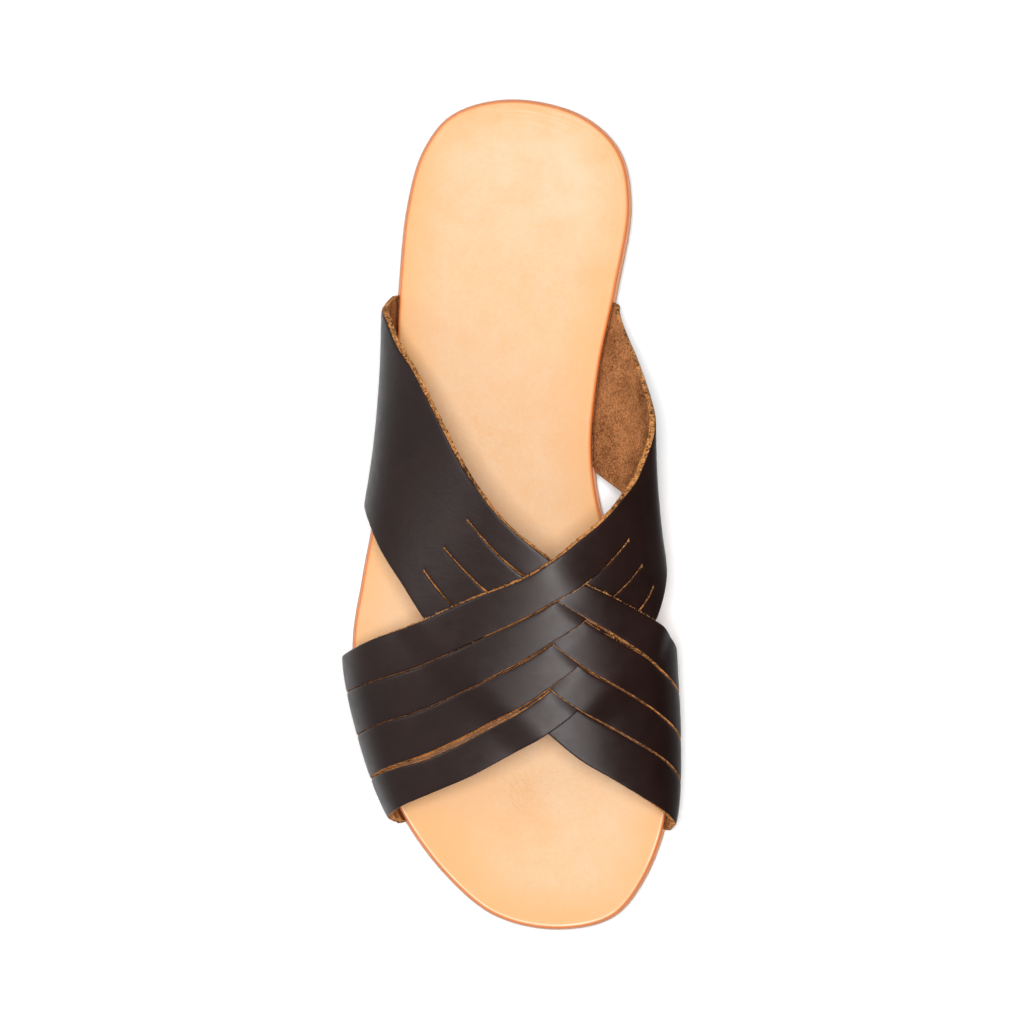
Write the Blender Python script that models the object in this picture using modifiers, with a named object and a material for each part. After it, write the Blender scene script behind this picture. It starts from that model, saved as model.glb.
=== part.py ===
"""Woven leather slide sandal, right shoe, standing empty on its sole.

Metres, +Z up. The heel is towards +Y, the toes towards -Y and the inner side
of the foot (the arch) towards +X. "Along" runs from the back of the heel to
the tip of the toe. "Round" runs over the foot: -1 is the outer edge of the
sole, 0 the crown of the instep, +1 the inner edge of the sole, and beyond one
the leather lies between insole and outsole.
"""
import math

import bmesh
import bpy
import numpy as np
from mathutils import Matrix

# Driving sizes
LENGTH = 0.260
BALL_WIDTH = 0.100
INSTEP_HEIGHT = 0.080
OUTSOLE_THICK = 0.0045
INSOLE_THICK = 0.0040
INSOLE_INSET = 0.0008
INSOLE_ROUND = 0.0012
HEEL_HEIGHT = 0.0060
HEEL_INSET = 0.0006
HEEL_BREAST = 0.066
BREAST_HOLLOW = 0.004
HEEL_LAP = 0.0015
TOE_SPRING = 0.0048
STRAP_THICK = 0.0020
WEAVE_LAP = 0.0003
SLIT_WIDTH = 0.0010
WEAVE_STEP = 0.0085
WEAVE_RUNOUT = 0.016
CLEARANCE = 0.0003
POCKET_DEPTH = 0.0112
POCKET_REACH = 0.004
POCKET_SIDE = 0.0006
# Puts the middle of the shoe's box on X = 0
ACROSS_SHIFT = -0.0018 * BALL_WIDTH
OUTLINE_STEPS = 7
SOLE_CUTS = 24

# Outline of the sole: along as shares of LENGTH, outer and inner edge as
# shares of BALL_WIDTH from the heel line
SOLE_EDGES = (
    (0.019, -0.190, 0.217),
    (0.062, -0.279, 0.339),
    (0.127, -0.328, 0.375),
    (0.231, -0.356, 0.332),
    (0.327, -0.370, 0.281),
    (0.423, -0.402, 0.258),
    (0.500, -0.436, 0.284),
    (0.577, -0.475, 0.358),
    (0.662, -0.505, 0.454),
    (0.769, -0.454, 0.493),
    (0.865, -0.348, 0.488),
    (0.942, -0.195, 0.414),
    (0.985, -0.048, 0.318),
)
HEEL_TIP = (0.000, -0.008)
TOE_TIP = (1.000, 0.145)

# Rise of the sole's underside: along, share of HEEL_HEIGHT, share of TOE_SPRING
SOLE_RISE = (
    (0.000, 1.00, 0.00),
    (0.230, 1.00, 0.00),
    (0.310, 0.93, 0.00),
    (0.425, 0.50, 0.00),
    (0.540, 0.10, 0.00),
    (0.635, 0.00, 0.00),
    (0.810, 0.00, 0.00),
    (0.885, 0.00, 0.20),
    (0.960, 0.00, 0.65),
    (1.000, 0.00, 1.00),
)

# The last under the straps: along; outer side: bulge as a share of BALL_WIDTH,
# height above the outsole as a share of INSTEP_HEIGHT, fullness (0 straight,
# 1 a quarter ellipse); crown: place across as a share of BALL_WIDTH, height
# above the ground as a share of INSTEP_HEIGHT; inner side: fullness, height,
# bulge
LAST = (
    (0.231, 0.016, 0.225, 0.35, 0.02, 0.925, 0.75, 0.425, 0.106),
    (0.327, 0.010, 0.225, 0.45, 0.04, 0.888, 0.80, 0.412, 0.153),
    (0.423, 0.000, 0.238, 0.55, 0.08, 0.838, 0.85, 0.388, 0.176),
    (0.500, 0.000, 0.225, 0.65, 0.11, 0.794, 0.90, 0.350, 0.162),
    (0.577, 0.000, 0.200, 0.75, 0.12, 0.738, 0.95, 0.312, 0.115),
    (0.673, 0.000, 0.175, 0.85, 0.12, 0.656, 1.00, 0.250, 0.038),
    (0.769, 0.001, 0.150, 0.90, 0.10, 0.575, 1.00, 0.212, 0.016),
    (0.865, 0.012, 0.138, 0.95, 0.08, 0.506, 1.00, 0.188, 0.008),
    (0.923, 0.016, 0.138, 0.95, 0.08, 0.450, 1.00, 0.188, 0.010),
)

# One half section: round, inside (-) or outside (+) the sole's edge as a share
# of INSOLE_THICK, share of the bulge, share of the way in to the crown, height
# above the outsole as a share of INSOLE_THICK, share of the side height
HALF_SECTION = (
    (1.110, -2.700, 0.00, 0.00, 0.0000, 0.00),
    (1.030, -1.000, 0.00, 0.00, 0.0000, 0.00),
    (1.005, -0.450, 0.00, 0.00, 0.0000, 0.00),
    (0.990, -0.175, 0.00, 0.00, 0.0375, 0.00),
    (0.975, -0.075, 0.00, 0.00, 0.2500, 0.00),
    (0.944, -0.025, 0.00, 0.00, 0.8500, 0.00),
    (0.825, 0.025, 0.62, 0.00, 0.0000, 0.52),
    (0.700, 0.000, 1.00, 0.00, 0.0000, 1.00),
    (0.525, 0.000, 1.00, 0.13, 0.0000, 1.00),
    (0.338, 0.000, 1.00, 0.40, 0.0000, 1.00),
    (0.163, 0.000, 1.00, 0.70, 0.0000, 1.00),
    (0.000, 0.000, 1.00, 1.00, 0.0000, 1.00),
)

# The panel rooted on the inner side: round, then how far along (shares of
# LENGTH) its back edge, its three slits and its front edge lie
INNER_PANEL = (
    (1.11, 0.244, 0.294, 0.344, 0.392, 0.440),
    (1.00, 0.245, 0.295, 0.345, 0.393, 0.442),
    (0.94, 0.251, 0.302, 0.352, 0.399, 0.449),
    (0.82, 0.315, 0.358, 0.402, 0.444, 0.489),
    (0.72, 0.371, 0.412, 0.455, 0.497, 0.541),
    (0.62, 0.416, 0.458, 0.502, 0.545, 0.587),
    (0.53, 0.450, 0.497, 0.542, 0.584, 0.620),
    (0.41, 0.480, 0.531, 0.574, 0.616, 0.650),
    (0.30, 0.504, 0.556, 0.596, 0.640, 0.681),
    (0.16, 0.529, 0.581, 0.622, 0.669, 0.719),
    (0.03, 0.552, 0.600, 0.646, 0.700, 0.752),
    (-0.07, 0.573, 0.621, 0.671, 0.728, 0.776),
    (-0.19, 0.594, 0.647, 0.699, 0.757, 0.802),
    (-0.34, 0.623, 0.676, 0.727, 0.783, 0.824),
    (-0.49, 0.644, 0.694, 0.744, 0.798, 0.841),
    (-0.64, 0.662, 0.707, 0.758, 0.810, 0.855),
    (-0.79, 0.671, 0.715, 0.767, 0.819, 0.865),
    (-0.95, 0.677, 0.719, 0.771, 0.823, 0.869),
    (-1.11, 0.681, 0.723, 0.775, 0.827, 0.873),
)
# Where each slit starts, round from the root
INNER_SLITS = (0.42, 0.475, 0.53)

# The panel rooted on the outer side, same columns
OUTER_PANEL = (
    (-1.11, 0.235, 0.298, 0.361, 0.418, 0.470),
    (-1.00, 0.236, 0.299, 0.361, 0.418, 0.470),
    (-0.94, 0.238, 0.300, 0.362, 0.419, 0.471),
    (-0.82, 0.246, 0.309, 0.370, 0.426, 0.477),
    (-0.72, 0.256, 0.321, 0.382, 0.438, 0.489),
    (-0.62, 0.269, 0.338, 0.400, 0.457, 0.508),
    (-0.53, 0.298, 0.365, 0.429, 0.484, 0.536),
    (-0.42, 0.333, 0.404, 0.469, 0.526, 0.578),
    (-0.33, 0.379, 0.452, 0.517, 0.571, 0.621),
    (-0.21, 0.452, 0.507, 0.567, 0.620, 0.671),
    (-0.11, 0.505, 0.551, 0.604, 0.657, 0.710),
    (0.03, 0.550, 0.593, 0.647, 0.701, 0.753),
    (0.16, 0.574, 0.618, 0.675, 0.727, 0.784),
    (0.30, 0.593, 0.642, 0.698, 0.750, 0.808),
    (0.44, 0.614, 0.665, 0.721, 0.772, 0.831),
    (0.57, 0.635, 0.689, 0.744, 0.793, 0.850),
    (0.72, 0.660, 0.713, 0.767, 0.817, 0.867),
    (0.85, 0.673, 0.725, 0.779, 0.829, 0.874),
    (0.95, 0.679, 0.731, 0.784, 0.835, 0.878),
    (1.11, 0.685, 0.735, 0.788, 0.838, 0.883),
)
OUTER_SLITS = (-0.215, -0.285, -0.345)

# Places round the foot where the panels' faces break; between the two walls
# they are evenly spaced
WALL_ROUND = (1.11, 1.065, 1.03, 1.012, 0.998, 0.986, 0.975, 0.960, 0.935)
SPAN_ROUND = 0.90
SPAN_FACES = 30
STRIP_FACES = 3


def clear_scene():
    for item in list(bpy.data.objects):
        bpy.data.objects.remove(item, do_unlink=True)


def smooth(at, keys, rows):
    """Values at the given places of a smooth curve through the table's rows."""
    keys = np.asarray(keys, dtype=float)
    rows = np.asarray(rows, dtype=float)
    shape = (-1,) + (1,) * (rows.ndim - 1)
    step = np.diff(keys).reshape(shape)
    rate = np.diff(rows, axis=0) / step
    slope = np.empty_like(rows)
    slope[0] = rate[0]
    slope[-1] = rate[-1]
    slope[1:-1] = (rate[:-1] * step[1:] + rate[1:] * step[:-1]) / (step[1:] + step[:-1])
    at = np.clip(np.asarray(at, dtype=float), keys[0], keys[-1])
    span = np.clip(np.searchsorted(keys, at, side="right") - 1, 0, len(keys) - 2)
    width = (keys[span + 1] - keys[span]).reshape(shape)
    t = (at - keys[span]).reshape(shape) / width
    start = rows[span] * (2 * t**3 - 3 * t**2 + 1) + slope[span] * width * (t**3 - 2 * t**2 + t)
    end = rows[span + 1] * (3 * t**2 - 2 * t**3) + slope[span + 1] * width * (t**3 - t**2)
    return start + end


def ease(value):
    """Smooth step from 0 at -0.5 to 1 at +0.5."""
    t = np.clip(value + 0.5, 0.0, 1.0)
    return t * t * (3.0 - 2.0 * t)


def sole_outline():
    """Closed smooth outline as rows of across and along, heel tip first."""
    inner = [(row[2] * BALL_WIDTH, row[0] * LENGTH) for row in SOLE_EDGES]
    outer = [(row[1] * BALL_WIDTH, row[0] * LENGTH) for row in SOLE_EDGES]
    heel = (HEEL_TIP[1] * BALL_WIDTH, HEEL_TIP[0] * LENGTH)
    toe = (TOE_TIP[1] * BALL_WIDTH, TOE_TIP[0] * LENGTH)
    ring = np.array([heel] + inner + [toe] + outer[::-1])
    count = len(ring)
    wrapped = np.concatenate([ring[-3:], ring, ring[:4]])
    chords = np.sqrt(np.linalg.norm(np.diff(wrapped, axis=0), axis=1))
    keys = np.concatenate([[0.0], np.cumsum(chords)])
    at = [np.linspace(keys[3 + i], keys[4 + i], OUTLINE_STEPS, endpoint=False) for i in range(count)]
    return smooth(np.concatenate(at), keys, wrapped)


OUTLINE = sole_outline()
TOE_INDEX = (len(SOLE_EDGES) + 1) * OUTLINE_STEPS
INNER_EDGE = OUTLINE[: TOE_INDEX + 1]
OUTER_EDGE = np.concatenate([OUTLINE[TOE_INDEX:], OUTLINE[:1]])[::-1]


def edge_across(along, side):
    """How far across the sole's edge lies; side is -1 outer, +1 inner."""
    edge = INNER_EDGE if side > 0 else OUTER_EDGE
    return np.interp(along, edge[:, 1], edge[:, 0])


def sole_rise(along):
    rows = np.array(SOLE_RISE)
    shares = smooth(np.ravel(along) / LENGTH, rows[:, 0], rows[:, 1:])
    return np.maximum(shares[:, 0] * HEEL_HEIGHT + shares[:, 1] * TOE_SPRING, 0.0)


def inset_outline(ring, inset):
    ahead = np.roll(ring, -1, axis=0) - np.roll(ring, 1, axis=0)
    normal = np.stack([ahead[:, 1], -ahead[:, 0]], axis=1)
    normal /= np.linalg.norm(normal, axis=1)[:, None]
    return ring - normal * inset


def last_sections(along):
    """Section nodes of the last at each place along, with their round keys."""
    last = np.array(LAST)
    half = np.array(HALF_SECTION)
    sized = smooth(along / LENGTH, last[:, 0], last[:, 1:])
    top = sole_rise(along) + OUTSOLE_THICK
    crown_x = sized[:, 3] * BALL_WIDTH
    crown_z = sized[:, 4] * INSTEP_HEIGHT
    sides = ((-1, sized[:, 0], sized[:, 1], sized[:, 2]), (1, sized[:, 7], sized[:, 6], sized[:, 5]))
    halves = []
    for side, bulge, height, fullness in sides:
        nodes = []
        for _, offset, bulge_share, inward, lift, height_share in half:
            out = offset * INSOLE_THICK + bulge_share * bulge * BALL_WIDTH
            wall_x = edge_across(along, side) + side * out
            wall_z = top + lift * INSOLE_THICK + height_share * height * INSTEP_HEIGHT
            quarter = math.sqrt(1.0 - (1.0 - inward) ** 2)
            round_crown = fullness + (1.0 - fullness) * inward**2
            upward = inward + round_crown * (quarter - inward)
            x = wall_x + (crown_x - wall_x) * inward
            z = wall_z + (crown_z - wall_z) * upward
            nodes.append(np.stack([x, z], axis=1))
        halves.append(nodes)
    keys = np.concatenate([-half[:, 0], half[:-1, 0][::-1]])
    return keys, np.stack(halves[0] + halves[1][:-1][::-1])


def last_points(turn, along):
    """Points of the last, element by element, at (round, along)."""
    keys, nodes = last_sections(along)
    points = [smooth([t], keys, nodes[:, i])[0] for i, t in enumerate(turn)]
    flat = np.array(points)
    return np.stack([flat[:, 0], LENGTH / 2 - along, flat[:, 1]], axis=1)


def raised_points(turn, along, raised):
    """Points of the last moved outward along its own normal."""
    step_turn = 0.004
    step_along = STRAP_THICK / 5
    over = last_points(turn + step_turn, along) - last_points(turn - step_turn, along)
    down = last_points(turn, along + step_along) - last_points(turn, along - step_along)
    normal = np.cross(down, over)
    normal /= np.linalg.norm(normal, axis=1)[:, None]
    return last_points(turn, along) + normal * raised[:, None]


def strip_line(panel, index, turn):
    """How far along the panel's line lies at each place round the foot."""
    rows = np.array(sorted(panel))
    return smooth(turn, rows[:, 0], rows[:, 1 + index]) * LENGTH


def weave_raise(strip, turn, along, other):
    """How far a strip is raised: it dips under the other panel's strips up to
    the line before its own number and lies over those past it."""
    over = ease((along - strip_line(other, strip, turn)) / WEAVE_STEP)
    past = ease((along - strip_line(other, 4, turn)) / WEAVE_RUNOUT - 0.5)
    return (STRAP_THICK - WEAVE_LAP) * over * (1.0 - past)


def round_places():
    wall = np.array(WALL_ROUND)
    span = np.linspace(SPAN_ROUND, -SPAN_ROUND, SPAN_FACES + 1)
    return np.concatenate([wall, span, -wall[::-1]])


def panel_object(name, panel, slits, other, other_first):
    """One slit leather panel: a sheet on the last with a column of faces left
    out of each slit, thickened outward."""
    root = np.sign(panel[0][0])
    turns = round_places() * root
    for start in slits:
        turns[np.argmin(np.abs(turns - start))] = start
    columns = []
    for strip in range(4):
        for share in np.linspace(0.0, 1.0, STRIP_FACES + 1):
            back = strip_line(panel, strip, turns)
            front = strip_line(panel, strip + 1, turns)
            if strip > 0:
                back = back + SLIT_WIDTH / 2
            if strip < 3:
                front = front - SLIT_WIDTH / 2
            along = back + (front - back) * share
            other_line = strip if other_first else strip + 1
            raised = weave_raise(other_line, turns, along, other) if other_line < 4 else turns * 0.0
            columns.append(raised_points(turns, along, raised))
    bm = bmesh.new()
    grid = [[bm.verts.new(point) for point in column] for column in columns]
    per_strip = STRIP_FACES + 1
    for col in range(len(grid) - 1):
        for row in range(len(turns) - 1):
            if (col + 1) % per_strip == 0:
                start = slits[(col + 1) // per_strip - 1]
                if (turns[row + 1] - start) * root < -1e-6:
                    continue
            corners = (grid[col][row], grid[col + 1][row], grid[col + 1][row + 1], grid[col][row + 1])
            bm.faces.new(corners)
    bm.normal_update()
    if sum(face.normal.z for face in bm.faces) < 0:
        bmesh.ops.reverse_faces(bm, faces=bm.faces[:])
    sheet = new_object(name, bm)
    thicken = sheet.modifiers.new("leather", "SOLIDIFY")
    thicken.thickness = STRAP_THICK
    thicken.offset = 1.0
    thicken.use_even_offset = True
    return sheet


def new_object(name, bm):
    mesh = bpy.data.meshes.new(name)
    bm.to_mesh(mesh)
    bm.free()
    made = bpy.data.objects.new(name, mesh)
    bpy.context.scene.collection.objects.link(made)
    return made


def keep_modifiers(item):
    """Replace the object's mesh with the one its modifiers make."""
    graph = bpy.context.evaluated_depsgraph_get()
    mesh = bpy.data.meshes.new_from_object(item.evaluated_get(graph))
    item.modifiers.clear()
    item.data = mesh


def join_exact(item, other, operation):
    step = item.modifiers.new(operation.lower(), "BOOLEAN")
    step.operation = operation
    step.solver = "EXACT"
    step.object = other
    keep_modifiers(item)
    bpy.data.objects.remove(other, do_unlink=True)


def slab_mesh(ring, low, high):
    """Flat slab over the ring, cut across so that it can follow the rise."""
    bm = bmesh.new()
    verts = [bm.verts.new((x, LENGTH / 2 - along, low)) for x, along in ring]
    face = bm.faces.new(verts)
    grown = bmesh.ops.extrude_face_region(bm, geom=[face])
    top = [item for item in grown["geom"] if isinstance(item, bmesh.types.BMVert)]
    bmesh.ops.translate(bm, verts=top, vec=(0.0, 0.0, high - low))
    bmesh.ops.recalc_face_normals(bm, faces=bm.faces[:])
    for cut in range(1, SOLE_CUTS):
        place = (0.0, LENGTH / 2 - LENGTH * cut / SOLE_CUTS, 0.0)
        everything = bm.verts[:] + bm.edges[:] + bm.faces[:]
        bmesh.ops.bisect_plane(bm, geom=everything, plane_co=place, plane_no=(0.0, 1.0, 0.0), dist=1e-5)
    return bm


def follow_rise(bm):
    for vert in bm.verts:
        vert.co.z += float(sole_rise(np.array([LENGTH / 2 - vert.co.y]))[0])


def rim_edges(bm, height):
    """Edges where the slab's flat face at this height meets its wall."""
    found = []
    for edge in bm.edges:
        level = all(abs(vert.co.z - height) < 1e-6 for vert in edge.verts)
        walls = [face for face in edge.link_faces if abs(face.normal.z) < 0.5]
        if level and len(walls) == 1:
            found.append(edge)
    return found


def heel_ring():
    """Outline of the heel block, closed in front by its hollow breast."""
    ring = inset_outline(OUTLINE, HEEL_INSET)
    ring = ring[ring[:, 1] < HEEL_BREAST]
    split = int(np.argmax(np.linalg.norm(np.diff(ring, axis=0), axis=1))) + 1
    ring = np.concatenate([ring[split:], ring[:split]])
    left = edge_across(HEEL_BREAST, -1) + HEEL_INSET
    right = edge_across(HEEL_BREAST, 1) - HEEL_INSET
    across = np.linspace(right, left, 9)
    bow = 1.0 - ((across - (left + right) / 2) / ((right - left) / 2)) ** 2
    breast = np.stack([across, HEEL_BREAST - BREAST_HOLLOW * bow], axis=1)
    return np.concatenate([ring, breast])


def pocket_object(panel, side):
    """Cutter for the slot where one panel's leather lies in the outsole."""
    rows = [row for row in sorted(panel) if row[0] * side > 0.9]
    near = rows[0] if side > 0 else rows[-1]
    far = rows[-1] if side > 0 else rows[0]
    back = min(near[1], far[1]) * LENGTH - POCKET_SIDE
    front = max(near[5], far[5]) * LENGTH + POCKET_SIDE
    places = np.linspace(back, front, 13)
    floor = sole_rise(places) + OUTSOLE_THICK - STRAP_THICK - CLEARANCE
    edge = edge_across(places, side)
    bm = bmesh.new()
    lines = []
    for offset in (-POCKET_DEPTH, POCKET_REACH):
        points = zip(edge + side * offset, LENGTH / 2 - places, floor)
        lines.append([bm.verts.new(point) for point in points])
    for i in range(len(places) - 1):
        bm.faces.new((lines[0][i], lines[0][i + 1], lines[1][i + 1], lines[1][i]))
    high = 2 * STRAP_THICK
    grown = bmesh.ops.extrude_face_region(bm, geom=bm.faces[:])
    top = [item for item in grown["geom"] if isinstance(item, bmesh.types.BMVert)]
    bmesh.ops.translate(bm, verts=top, vec=(0.0, 0.0, high))
    bmesh.ops.recalc_face_normals(bm, faces=bm.faces[:])
    return new_object("pocket", bm)


def leather(name, colour, roughness):
    material = bpy.data.materials.new(name)
    material.use_nodes = True
    shader = material.node_tree.nodes["Principled BSDF"]
    shader.inputs["Base Color"].default_value = (*colour, 1.0)
    shader.inputs["Roughness"].default_value = roughness
    return material


def build_outsole():
    bm = slab_mesh(OUTLINE, 0.0, OUTSOLE_THICK)
    follow_rise(bm)
    outsole = new_object("outsole", bm)
    ring = heel_ring()
    block = bmesh.new()
    face = block.faces.new([block.verts.new((x, LENGTH / 2 - along, 0.0)) for x, along in ring])
    grown = bmesh.ops.extrude_face_region(block, geom=[face])
    top = [item for item in grown["geom"] if isinstance(item, bmesh.types.BMVert)]
    bmesh.ops.translate(block, verts=top, vec=(0.0, 0.0, HEEL_HEIGHT + HEEL_LAP))
    bmesh.ops.recalc_face_normals(block, faces=block.faces[:])
    join_exact(outsole, new_object("heel block", block), "UNION")
    for panel in (INNER_PANEL, OUTER_PANEL):
        for side in (-1, 1):
            join_exact(outsole, pocket_object(panel, side), "DIFFERENCE")
    return outsole


def build_insole():
    low = OUTSOLE_THICK + CLEARANCE
    high = low + INSOLE_THICK
    bm = slab_mesh(inset_outline(OUTLINE, INSOLE_INSET), low, high)
    bmesh.ops.bevel(bm, geom=rim_edges(bm, high), offset=INSOLE_ROUND, segments=3, profile=0.5, affect="EDGES")
    bmesh.ops.bevel(bm, geom=rim_edges(bm, low), offset=INSOLE_ROUND / 2, segments=1, affect="EDGES")
    follow_rise(bm)
    return new_object("insole", bm)


def build_upper():
    upper = panel_object("upper", INNER_PANEL, INNER_SLITS, OUTER_PANEL, True)
    crossing = panel_object("outer panel", OUTER_PANEL, OUTER_SLITS, INNER_PANEL, False)
    keep_modifiers(upper)
    keep_modifiers(crossing)
    join_exact(upper, crossing, "UNION")
    return upper


def main():
    clear_scene()
    home = bpy.data.collections.new("woven sandal")
    bpy.context.scene.collection.children.link(home)
    finishes = (
        (build_outsole, leather("sole leather", (0.55, 0.33, 0.20), 0.6), False),
        (build_insole, leather("insole leather", (0.80, 0.58, 0.36), 0.5), False),
        (build_upper, leather("strap leather", (0.045, 0.030, 0.027), 0.4), True),
    )
    for build, material, rounded in finishes:
        item = build()
        item.data.transform(Matrix.Translation((ACROSS_SHIFT, 0.0, 0.0)))
        item.data.materials.clear()
        item.data.materials.append(material)
        for polygon in item.data.polygons:
            polygon.use_smooth = rounded
        for collection in list(item.users_collection):
            collection.objects.unlink(item)
        home.objects.link(item)


main()
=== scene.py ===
import math
import random

import bmesh
import bpy
import numpy as np
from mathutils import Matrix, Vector


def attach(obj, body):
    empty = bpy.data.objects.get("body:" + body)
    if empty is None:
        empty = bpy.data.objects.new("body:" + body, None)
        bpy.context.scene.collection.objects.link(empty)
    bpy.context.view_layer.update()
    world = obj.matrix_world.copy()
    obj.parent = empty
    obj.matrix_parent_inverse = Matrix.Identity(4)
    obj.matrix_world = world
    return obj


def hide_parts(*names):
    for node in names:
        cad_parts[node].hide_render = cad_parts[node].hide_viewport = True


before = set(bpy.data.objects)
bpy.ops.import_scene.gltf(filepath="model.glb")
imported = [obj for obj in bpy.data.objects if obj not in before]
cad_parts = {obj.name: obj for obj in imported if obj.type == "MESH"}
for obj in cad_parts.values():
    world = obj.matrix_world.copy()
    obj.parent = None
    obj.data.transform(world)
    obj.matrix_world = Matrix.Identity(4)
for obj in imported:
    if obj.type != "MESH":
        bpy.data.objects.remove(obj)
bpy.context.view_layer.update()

# Woven leather slide, right shoe. Heel towards +Y, toes towards -Y, arch side
# towards +X. "Along" is the distance from the back of the heel, "turn" the
# place round the foot: -1 outer sole edge, 0 instep, +1 inner sole edge.
# Lengths are in metres.

shoe = {
    "length": 0.260,
    "ballWidth": 0.100,
    "instepHeight": 0.080,
    "heelHeight": 0.0060,
    "toeSpring": 0.0048,
    "outsoleThick": 0.0045,
    "insoleThick": 0.0040,
    "clearance": 0.0003,
    "acrossShift": -0.00018,
}

# along, outer edge, inner edge (shares of length and ball width)
soleEdges = (
    (0.019, -0.190, 0.217),
    (0.062, -0.279, 0.339),
    (0.127, -0.328, 0.375),
    (0.231, -0.356, 0.332),
    (0.327, -0.370, 0.281),
    (0.423, -0.402, 0.258),
    (0.500, -0.436, 0.284),
    (0.577, -0.475, 0.358),
    (0.662, -0.505, 0.454),
    (0.769, -0.454, 0.493),
    (0.865, -0.348, 0.488),
    (0.942, -0.195, 0.414),
    (0.985, -0.048, 0.318),
)
heelTip = (0.000, -0.008)
toeTip = (1.000, 0.145)

# along, share of heel height, share of toe spring
riseRows = (
    (0.000, 1.00, 0.00),
    (0.230, 1.00, 0.00),
    (0.310, 0.93, 0.00),
    (0.425, 0.50, 0.00),
    (0.540, 0.10, 0.00),
    (0.635, 0.00, 0.00),
    (0.810, 0.00, 0.00),
    (0.885, 0.00, 0.20),
    (0.960, 0.00, 0.65),
    (1.000, 0.00, 1.00),
)

# along; outer bulge, height, fullness; crown place and height; inner
# fullness, height, bulge
lastRows = (
    (0.231, 0.016, 0.225, 0.35, 0.02, 0.925, 0.75, 0.425, 0.106),
    (0.327, 0.010, 0.225, 0.45, 0.04, 0.888, 0.80, 0.412, 0.153),
    (0.423, 0.000, 0.238, 0.55, 0.08, 0.838, 0.85, 0.388, 0.176),
    (0.500, 0.000, 0.225, 0.65, 0.11, 0.794, 0.90, 0.350, 0.162),
    (0.577, 0.000, 0.200, 0.75, 0.12, 0.738, 0.95, 0.312, 0.115),
    (0.673, 0.000, 0.175, 0.85, 0.12, 0.656, 1.00, 0.250, 0.038),
    (0.769, 0.001, 0.150, 0.90, 0.10, 0.575, 1.00, 0.212, 0.016),
    (0.865, 0.012, 0.138, 0.95, 0.08, 0.506, 1.00, 0.188, 0.008),
    (0.923, 0.016, 0.138, 0.95, 0.08, 0.450, 1.00, 0.188, 0.010),
)

# turn, out from the sole's edge (share of the insole's thickness), share of
# bulge, share in to the crown, up (share of the same), share of side height
sectionRows = (
    (1.110, -2.700, 0.00, 0.00, 0.0000, 0.00),
    (1.030, -1.000, 0.00, 0.00, 0.0000, 0.00),
    (1.005, -0.450, 0.00, 0.00, 0.0000, 0.00),
    (0.990, -0.175, 0.00, 0.00, 0.0375, 0.00),
    (0.975, -0.075, 0.00, 0.00, 0.2500, 0.00),
    (0.944, -0.025, 0.00, 0.00, 0.8500, 0.00),
    (0.825, 0.025, 0.62, 0.00, 0.0000, 0.52),
    (0.700, 0.000, 1.00, 0.00, 0.0000, 1.00),
    (0.525, 0.000, 1.00, 0.13, 0.0000, 1.00),
    (0.338, 0.000, 1.00, 0.40, 0.0000, 1.00),
    (0.163, 0.000, 1.00, 0.70, 0.0000, 1.00),
    (0.000, 0.000, 1.00, 1.00, 0.0000, 1.00),
)


def spanCurve(t, width, start, startSlope, end, endSlope):  # t from 0 to 1
    rise = start * (2 * t**3 - 3 * t**2 + 1) + startSlope * width * (t**3 - 2 * t**2 + t)
    return rise + end * (3 * t**2 - 2 * t**3) + endSlope * width * (t**3 - t**2)


def smoothCurve(at, keys, rows):  # through the rows, held at both ends
    keys, rows = np.asarray(keys, float), np.asarray(rows, float)
    shape = (-1,) + (1,) * (rows.ndim - 1)
    step = np.diff(keys).reshape(shape)
    rate = np.diff(rows, axis=0) / step
    middle = (rate[:-1] * step[1:] + rate[1:] * step[:-1]) / (step[1:] + step[:-1])
    slope = np.concatenate([rate[:1], middle, rate[-1:]])
    at = np.clip(np.asarray(at, float), keys[0], keys[-1])
    span = np.clip(np.searchsorted(keys, at, side="right") - 1, 0, len(keys) - 2)
    width = (keys[span + 1] - keys[span]).reshape(shape)
    t = (at - keys[span]).reshape(shape) / width
    return spanCurve(t, width, rows[span], slope[span], rows[span + 1], slope[span + 1])


def ease(value):  # 0 at -0.5, 1 at +0.5
    t = np.clip(value + 0.5, 0.0, 1.0)
    return t * t * (3.0 - 2.0 * t)


def outlineRing(steps):
    wide, long = shoe["ballWidth"], shoe["length"]
    inner = [(r[2] * wide, r[0] * long) for r in soleEdges]
    outer = [(r[1] * wide, r[0] * long) for r in soleEdges]
    heel = [(heelTip[1] * wide, heelTip[0] * long)]
    toe = [(toeTip[1] * wide, toeTip[0] * long)]
    ring = np.array(heel + inner + toe + outer[::-1])
    wrapped = np.concatenate([ring[-3:], ring, ring[:4]])
    chords = np.sqrt(np.linalg.norm(np.diff(wrapped, axis=0), axis=1))
    keys = np.concatenate([[0.0], np.cumsum(chords)])
    at = [np.linspace(keys[3 + i], keys[4 + i], steps, endpoint=False) for i in range(len(ring))]
    return smoothCurve(np.concatenate(at), keys, wrapped)


outlineSteps = 14  # points from one row of the sole's edge to the next
outline = outlineRing(outlineSteps)
toeIndex = (len(soleEdges) + 1) * outlineSteps
innerEdge = outline[: toeIndex + 1]
outerEdge = np.concatenate([outline[toeIndex:], outline[:1]])[::-1]


def edgeAcross(along, side):
    edge = innerEdge if side > 0 else outerEdge
    return np.interp(along, edge[:, 1], edge[:, 0])


def soleRise(along):
    rows = np.array(riseRows)
    shares = smoothCurve(np.ravel(along) / shoe["length"], rows[:, 0], rows[:, 1:])
    rise = shares[:, 0] * shoe["heelHeight"] + shares[:, 1] * shoe["toeSpring"]
    return np.maximum(rise, 0.0)


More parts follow.
